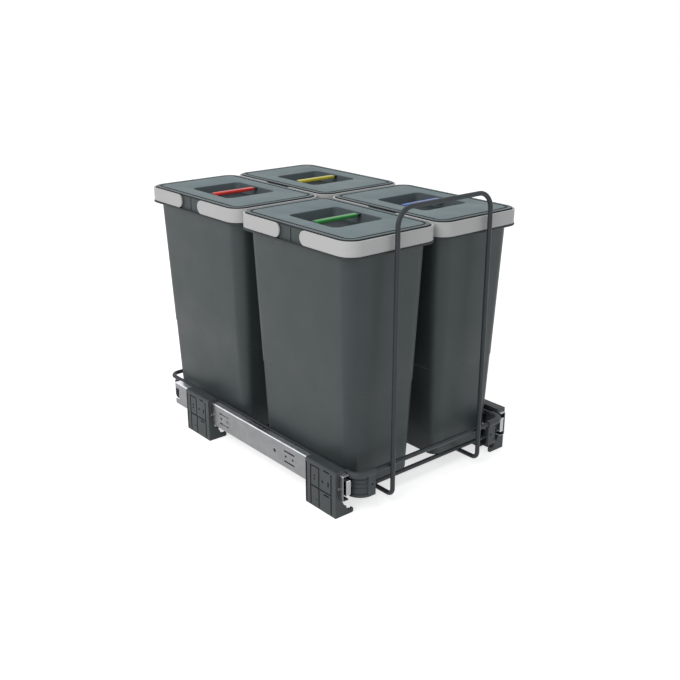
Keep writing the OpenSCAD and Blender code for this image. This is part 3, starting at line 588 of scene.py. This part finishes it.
def lid(name, x, y):
    shell = Shell(x, y)

    def rim(inset, z, look):
        shell.rim(inset, LID_TOP + z, look)

    def pan(inset, z, look):
        radius = max(RECESS_R - inset, 1)
        shell.add(RECESS_W - 2 * inset, RECESS_L - 2 * inset, radius, LID_TOP + z, look)

    # Underside of the recess and of the panel, with the collar that sits inside the rim
    for inset, z in ((3.4, 0), (0.6, 0), (-0.4, 0.3), (-0.9, 1.2)):
        pan(inset, z - RECESS_H - 2.2, "ring")
    pan(-2.2, -LID_T - 1, "ring")
    pan(-3, -LID_T + WELD_GAP, "ring")
    collar = ((4, WELD_GAP), (4, -8), (3.7, -8.4), (2.7, -8.4), (2.4, -8), (2.4, WELD_GAP))
    for inset, z in collar:
        rim(inset, -LID_T + z, "ring")

    # Side and lower rounded edge painted dark as shade, ring, and groove painted dark as shade
    rim(0.4, -LID_T + WELD_GAP, "groove")
    rim(0, -LID_T + 0.4, "groove")
    for inset, z in arc(0.9, -0.9, 0.9, 180, 90, 5):
        rim(inset, z, "groove" if z < -0.4 else "ring")
    rim(GROOVE_START - 0.3, 0, "ring")
    rim(GROOVE_START, -0.2, "groove")
    rim(GROOVE_START + 0.2, -GROOVE_DEPTH, "groove")
    rim(GROOVE_END - 0.2, -GROOVE_DEPTH, "groove")
    rim(GROOVE_END, -0.2, "lid")
    rim(GROOVE_END + 0.3, 0, "lid")

    # Panel, the recess's rounded brim, its side and its floor, the floor painted darker as shade
    pan(-1.1, 0, "lid")
    for inset, z in arc(-1.1, -1.1, 1.1, 90, 0, 4)[1:]:
        pan(inset, z, "recess")
    pan(0.5, -RECESS_H + 3, "recess")
    for inset, z in arc(3.5, -RECESS_H + 3, 3, 180, 270, 4)[1:]:
        pan(inset, z, "recess_floor")
    piece(
        f"lid_{name}_look", loft(shell.rings), ["lid", "ring", "recess", "groove", "recess_floor"],
        "lid_body_" + name, "lid", ["lid_" + name], 28, shell.face_looks(),
    )


def grip(name, x, y, colour):
    """The bar across a lid's recess, with rounded edges and ends painted dark as shade."""
    section = sum(corners(GRIP_W, GRIP_H, GRIP_ROUND, 6), [])
    mid_z = LID_TOP - GRIP_DROP - GRIP_H / 2
    stations = [(-out, share) for out, share in reversed(GRIP_STATIONS)] + list(GRIP_STATIONS)
    rings = [
        [(x + out, y + share * py, mid_z + share * pz) for py, pz in section]
        for out, share in stations
    ]
    spans = ["recess_floor"] + [colour] * (len(stations) - 3) + ["recess_floor"]
    looks = [look for look in spans for _ in section] + ["recess_floor"] * 2
    piece(
        f"grip_{name}_look", loft(rings), [colour, "recess_floor"],
        "lid_body_" + name, colour, ["grip_" + name], 50, looks,
    )


# Wire carriage
RIGHT, BACK, UP = (1, 0, 0), (0, 1, 0), (0, 0, 1)
LEFT, FRONT, DOWN = (-1, 0, 0), (0, -1, 0), (0, 0, -1)
WIRE_SIDES = 20
DOME_H, DOME_ANGLES = WIRE_D / 2 * 0.35, (0, 25, 50, 72)
BED_RISE = 8
# Places of the rings between the hoop's bends: heights on its legs, and Y on its feet
HOOP_MARKS, FOOT_MARK = (150, 300), -200


def dome(ring, centre, outward):
    """Rings that close a wire's end with a low dome."""
    return [
        [
            tuple(centre + (Vector(p) - centre) * math.cos(a) + outward * DOME_H * (math.sin(a) - 1))
            for p in ring
        ]
        for a in map(math.radians, DOME_ANGLES)
    ]


def wire(node, points, closed=False):
    """A round wire along points in mm, with domed ends where it is open."""
    points = [Vector(p) for p in points]
    last = len(points) - 1
    tangents = []
    for i in range(last + 1):
        before = points[i - 1] if closed or i else points[0]
        after = points[(i + 1) % (last + 1)] if closed or i < last else points[last]
        tangents.append((after - before).normalized())
    side = tangents[0].orthogonal().normalized()
    rings = []
    for point, tangent in zip(points, tangents):
        side = (side - tangent * side.dot(tangent)).normalized()
        up = tangent.cross(side)
        around = [side * math.cos(a) + up * math.sin(a) for a in circle(WIRE_SIDES)]
        rings.append([tuple(point + WIRE_D / 2 * out) for out in around])
    if not closed:
        rings[:1] = reversed(dome(rings[0], points[0], -tangents[0]))
        rings[-1:] = dome(rings[-1], points[-1], tangents[-1])
    piece(node + "_look", loft(rings, closed), ["wire"], "carriage", "wire", [node], 50)


def wire_loop():
    x, front, back = LOOP_X - LOOP_R, LOOP_FRONT_Y + LOOP_R, LOOP_REAR_Y - LOOP_R
    path = []
    for centre, start, end in (
        ((x, back, LOOP_Z), RIGHT, BACK),
        ((-x, back, LOOP_Z), BACK, LEFT),
        ((-x, front, LOOP_Z), LEFT, FRONT),
        ((x, front, LOOP_Z), FRONT, RIGHT),
    ):
        path += bend(centre, start, end, LOOP_R, 12)
    wire("wire_loop", path, closed=True)


def bed_wires():
    """The four wires under the buckets, with their ends turned up to the loop."""
    names = ("front", "middle_front", "middle_rear", "rear")
    bend_x, bend_z = LOOP_X - BEND_R, BED_Z + BEND_R
    top = LOOP_Z - WIRE_D / 2 - WELD_GAP
    for name, y in zip(names, BED_YS):
        path = [(-LOOP_X, y, top), (-LOOP_X, y, bend_z + BED_RISE)]
        path += bend((-bend_x, y, bend_z), LEFT, DOWN, BEND_R)
        path += bend((bend_x, y, bend_z), DOWN, RIGHT, BEND_R)
        path += [(LOOP_X, y, bend_z + BED_RISE), (LOOP_X, y, top)]
        wire("cross_wire_" + name, path)


def front_hoop():
    """The tall hoop, with its feet turned back under the bed wires."""
    x, low, high = HOOP_W / 2, *HOOP_MARKS
    foot_end = BED_YS[1] + WIRE_D
    foot_bend = (HOOP_Y + BEND_R, HOOP_FOOT_Z + BEND_R)
    top_x, top_z = x - HOOP_R, HOOP_TOP - HOOP_R
    path = [(-x, foot_end, HOOP_FOOT_Z), (-x, FOOT_MARK, HOOP_FOOT_Z)]
    path += bend((-x, *foot_bend), DOWN, FRONT, BEND_R)
    path += [(-x, HOOP_Y, low), (-x, HOOP_Y, high)]
    path += bend((-top_x, HOOP_Y, top_z), LEFT, UP, HOOP_R, 14)
    path += bend((top_x, HOOP_Y, top_z), UP, RIGHT, HOOP_R, 14)
    path += [(x, HOOP_Y, high), (x, HOOP_Y, low)]
    path += bend((x, *foot_bend), FRONT, DOWN, BEND_R)
    path += [(x, FOOT_MARK, HOOP_FOOT_Z), (x, foot_end, HOOP_FOOT_Z)]
    wire("front_hoop", path)


# Slides and brackets, with their places taken from the frame
def box(node):
    """A node's lowest and highest corners in mm."""
    return [Vector(corner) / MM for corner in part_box(node)]


SLIDE_LOW, SLIDE_HIGH = box("slide_outer_right")
SLIDE_MID = (SLIDE_LOW.z + SLIDE_HIGH.z) / 2
BRACKET_FACE = box("bracket_front_right")[1].x
BRACKET_GROOVE = (0.32, 1.3)
# Place along the slide of the dark disc in the outer member's hole, painted shade
HOLE_SHADE_SHARE = 0.357
HOLE_SHADE_Y = SLIDE_LOW.y + HOLE_SHADE_SHARE * (SLIDE_HIGH.y - SLIDE_LOW.y)
# The dark disc's section, painted shade in the hole: depth behind the slide's face, and radius
HOLE_SHADE_SECTION = ((1.1, 2.95), (0.45, 2.95), (0.3, 2.7), (0.5, 1.2), (0.6, 1))
TAB_MARGIN, TAB_OUTER_MARGIN, TAB_ROUND = 1.25, 0.3, 0.8
# The tab's section: depth behind the inner member's front, and share of the full outline
TAB_SECTION = ((0.12, 0.97), (0.3, 1), (1.3, 1))


def in_groove(centre, normal):
    """The floors and sides of the grooves in a bracket's outer face, painted dark as shade."""
    shallow, deep = BRACKET_GROOVE
    square = not 0.5 <= abs(normal.x) <= 0.9
    return shallow < BRACKET_FACE - abs(centre.x) < deep and square and centre.z > 1


def on_top(centre, normal):
    """The rolled upper corner and the top of a slide, where a bright steel is a painted highlight."""
    return normal.z > 0.3 and centre.z > SLIDE_HIGH.z - 2


def end_tab(side, sx):
    """The inner member's front end, bent over to close its channel."""
    low, high = box("slide_inner_" + side)
    near, far = sorted((abs(low.x), abs(high.x)))
    left, right = near + TAB_MARGIN, far - TAB_OUTER_MARGIN
    height = high.z - low.z - 2 * TAB_MARGIN
    outline = [
        ((left + right) / 2 + px, SLIDE_MID + pz)
        for px, pz in sum(corners(right - left, height, TAB_ROUND, 4), [])
    ]
    rings = [
        [
            (sx * (far + (px - far) * share), low.y + depth, SLIDE_MID + (pz - SLIDE_MID) * share)
            for px, pz in outline
        ]
        for depth, share in TAB_SECTION
    ]
    piece("slide_tab_" + side, loft(rings), ["tab"], "carriage", "slide", [], 40)


def hole_shade_disc(side, sx):
    """A dark disc in the outer member's round hole, painted shade."""
    rings = [
        disc(sx * (SLIDE_HIGH.x - depth), HOLE_SHADE_Y, SLIDE_MID, radius, 28)
        for depth, radius in HOLE_SHADE_SECTION
    ]
    piece("slide_hole_shade_" + side, loft(rings), ["groove"], "slide_mounts", "slide", [], 40)


def side_pieces(side, sx):
    """One side's brackets, slide, rail and corner block."""
    end_tab(side, sx)
    hole_shade_disc(side, sx)
    for end in ("front", "rear"):
        node = f"bracket_{end}_{side}"
        # The bracket's grooves take the near-black plastic as painted shade
        softened(node, "bracket", "bracket", "slide_mounts", 0.3, "groove", in_groove)
    # The slide's top takes the bright steel as a painted highlight
    softened("slide_outer_" + side, "slide", "slide", "slide_mounts", 0.4, "edge", on_top)
    softened("slide_middle_" + side, "slide", "slide", "middle_member_" + side, 0.15)
    softened("slide_inner_" + side, "inner", "slide", "carriage", 0.2)
    softened("rail_" + side, "wire", "wire", "carriage", 0.4)
    softened("corner_block_" + side, "block", "block", "carriage", 0.4)


# Small parts that keep the CAD's shape
SCREWS = (
    "adjuster_screws", "block_screws", "slide_screws_left", "slide_screws_right",
    "rail_rivets_left", "rail_rivets_right",
)
CAGES = [f"ball_cage_{layer}_{side}" for layer in ("outer", "inner") for side in ("left", "right")]


def coloured(names, material):
    """Gives the CAD's own shapes a material."""
    for name in names:
        mesh = nodes[name].data
        mesh.materials.clear()
        mesh.materials.append(MATERIALS[material])


# Floor, light and camera, in metres and degrees
FLOOR_HALF, FLOOR_DROP, FLOOR_GLOW = 6.0, 0.0004, 0.66
WORLD_LIGHT, WORLD_SEEN = 0.36, 1.0
LAMP_TARGET = Vector((0, 0, 0.2))
CAMERA_AT, LENS, SENSOR = (-0.9240, -1.1333, 0.6948), 50, 36
ELEVATION, AZIMUTH = 20, -40


def seen_rays(tree):
    """1 for rays that show the background: from the camera, in gloss and through clear matter."""
    rays = tree.nodes.new("ShaderNodeLightPath")
    value = rays.outputs["Is Camera Ray"]
    for name in ("Is Glossy Ray", "Is Transmission Ray"):
        most = tree.nodes.new("ShaderNodeMath")
        most.operation = "MAXIMUM"
        tree.links.new(value, most.inputs[0])
        tree.links.new(rays.outputs[name], most.inputs[1])
        value = most.outputs[0]
    return value


def floor_material():
    """A pale floor that keeps the shadow and glows a little where it is seen."""
    material = bpy.data.materials.new("floor_white")
    material.use_nodes = True
    tree = material.node_tree
    principled = tree.nodes["Principled BSDF"]
    principled.inputs["Base Color"].default_value = (0.93, 0.93, 0.93, 1)
    principled.inputs["Roughness"].default_value = 0.9
    principled.inputs["Specular IOR Level"].default_value = 0.1
    share = tree.nodes.new("ShaderNodeMath")
    share.operation = "MULTIPLY"
    share.inputs[1].default_value = FLOOR_GLOW
    tree.links.new(seen_rays(tree), share.inputs[0])
    glow = tree.nodes.new("ShaderNodeEmission")
    tree.links.new(share.outputs[0], glow.inputs["Strength"])
    both = tree.nodes.new("ShaderNodeAddShader")
    tree.links.new(principled.outputs[0], both.inputs[0])
    tree.links.new(glow.outputs[0], both.inputs[1])
    tree.links.new(both.outputs[0], tree.nodes["Material Output"].inputs["Surface"])
    return material


def floor():
    mesh = bpy.data.meshes.new("floor")
    square = [(x * FLOOR_HALF, y * FLOOR_HALF, 0) for x, y in ((-1, -1), (1, -1), (1, 1), (-1, 1))]
    mesh.from_pydata(square, [], [(0, 1, 2, 3)])
    mesh.materials.append(floor_material())
    obj = new_object("floor", mesh)
    obj.location.z = -FLOOR_DROP


def studio():
    """A world that is seen as white and lights the object softly."""
    world = bpy.data.worlds.new("studio")
    scene.world = world
    world.use_nodes = True
    tree = world.node_tree
    background = tree.nodes["Background"]
    background.inputs["Color"].default_value = (1, 1, 1, 1)
    level = tree.nodes.new("ShaderNodeMapRange")
    level.inputs["To Min"].default_value = WORLD_LIGHT
    level.inputs["To Max"].default_value = WORLD_SEEN
    tree.links.new(seen_rays(tree), level.inputs["Value"])
    tree.links.new(level.outputs["Result"], background.inputs["Strength"])


def lamp(name, at, power, size, colour=(1, 1, 1)):
    data = bpy.data.lights.new(name, "AREA")
    data.energy, data.size, data.color = power, size, colour
    obj = new_object(name, data)
    obj.location = at
    obj.rotation_euler = (LAMP_TARGET - Vector(at)).to_track_quat("-Z", "Y").to_euler()


def camera():
    """The photograph's view, from above the object's front left corner."""
    obj = new_object("camera", bpy.data.cameras.new("camera"))
    obj.location = CAMERA_AT
    obj.rotation_euler = (math.radians(90 - ELEVATION), 0, math.radians(AZIMUTH))
    obj.data.lens, obj.data.sensor_width = LENS, SENSOR
    obj.data.clip_start = 0.01
    scene.camera = obj


# The whole scene
for name, (x, y, colour) in BINS.items():
    bucket(name, x, y)
    lid(name, x, y)
    grip(name, x, y, colour)
    handle(name, "a", -1, x, y)
    handle(name, "b", 1, x, y)
wire_loop()
bed_wires()
front_hoop()
for side, sx in (("left", -1), ("right", 1)):
    side_pieces(side, sx)
coloured(SCREWS, "screw")
coloured(CAGES, "cage")
floor()
studio()
lamp("key", (-2.6, -0.6, 2.2), 48, 2.2, (1, 0.985, 0.97))
lamp("fill", (1.6, -2.4, 1.4), 5.5, 2.0, (0.75, 0.94, 1))
lamp("top", (0, 0.4, 3.0), 13, 2.4)
camera()
scene.view_settings.view_transform = "Standard"
